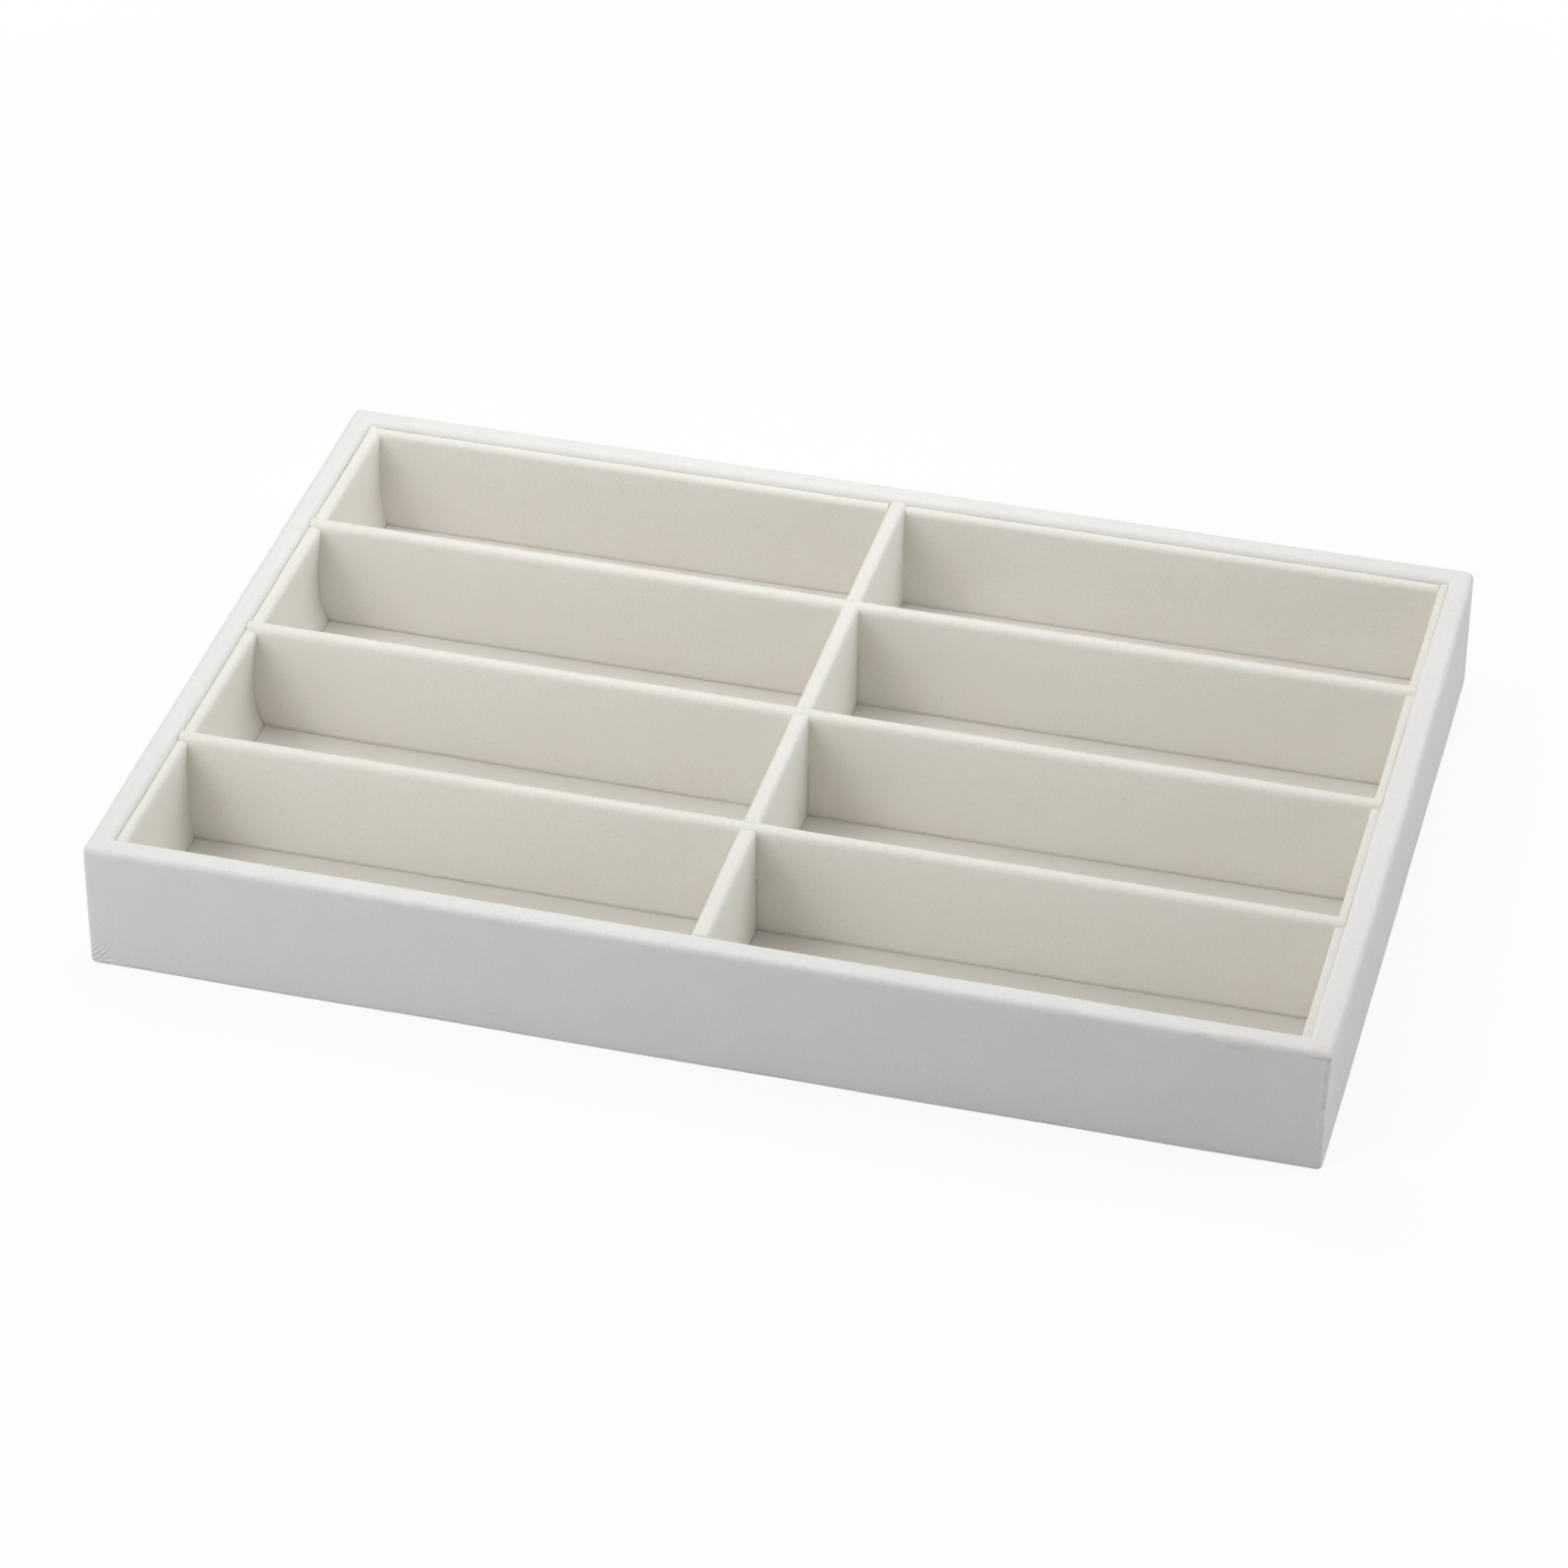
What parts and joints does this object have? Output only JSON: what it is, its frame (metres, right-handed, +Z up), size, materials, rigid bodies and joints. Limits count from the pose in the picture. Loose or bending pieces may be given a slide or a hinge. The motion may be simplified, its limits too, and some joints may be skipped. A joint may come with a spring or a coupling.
{
  "type": "eyeglasses display tray",
  "caption": "Open rectangular display tray covered in pale velour, with lift-out halved dividers that make long shallow compartments for eyeglasses.",
  "frame": {"origin": "on the resting surface, under the middle of the tray", "axes": "+Z up, +X along the long side to the right as seen from the front, front at -Y"},
  "size_m": [0.35, 0.24, 0.04],
  "materials": {
    "velour": "matt napped velour",
    "lining_velour": "matt napped velour",
    "felt": "pressed felt",
    "fibreboard": "raw fibreboard",
    "card": "raw grey card"
  },
  "bodies": {
    "tray": {"front_wall_board": "fibreboard", "back_wall_board": "fibreboard", "left_wall_board": "fibreboard", "right_wall_board": "fibreboard", "base_panel": "fibreboard", "underside_sheet": "felt", "outer_cover": "velour", "floor_card": "card", "floor_cover": "lining_velour", "left_liner_card_1": "card", "left_liner_cover_1": "lining_velour", "left_liner_card_2": "card", "left_liner_cover_2": "lining_velour", "left_liner_card_3": "card", "left_liner_cover_3": "lining_velour", "left_liner_card_4": "card", "left_liner_cover_4": "lining_velour", "right_liner_card_1": "card", "right_liner_cover_1": "lining_velour", "right_liner_card_2": "card", "right_liner_cover_2": "lining_velour", "right_liner_card_3": "card", "right_liner_cover_3": "lining_velour", "right_liner_card_4": "card", "right_liner_cover_4": "lining_velour", "front_liner_card_1": "card", "front_liner_cover_1": "lining_velour", "front_liner_card_2": "card", "front_liner_cover_2": "lining_velour", "back_liner_card_1": "card", "back_liner_cover_1": "lining_velour", "back_liner_card_2": "card", "back_liner_cover_2": "lining_velour"},
    "centre_divider": {"centre_divider_cover": "lining_velour", "centre_divider_board": "fibreboard"},
    "row_divider_1": {"row_divider_cover_1": "lining_velour", "row_divider_board_1": "fibreboard"},
    "row_divider_2": {"row_divider_cover_2": "lining_velour", "row_divider_board_2": "fibreboard"},
    "row_divider_3": {"row_divider_cover_3": "lining_velour", "row_divider_board_3": "fibreboard"}
  },
  "joints": [
    {"name": "centre_divider_lift", "type": "slide", "parent": "tray", "child": "centre_divider", "axis": [0, 0, 1], "range_m": [0, 0.04]},
    {"name": "row_divider_lift_1", "type": "slide", "parent": "centre_divider", "child": "row_divider_1", "axis": [0, 0, 1], "range_m": [0, 0.04]},
    {"name": "row_divider_lift_2", "type": "slide", "parent": "centre_divider", "child": "row_divider_2", "axis": [0, 0, 1], "range_m": [0, 0.04]},
    {"name": "row_divider_lift_3", "type": "slide", "parent": "centre_divider", "child": "row_divider_3", "axis": [0, 0, 1], "range_m": [0, 0.04]}
  ]
}
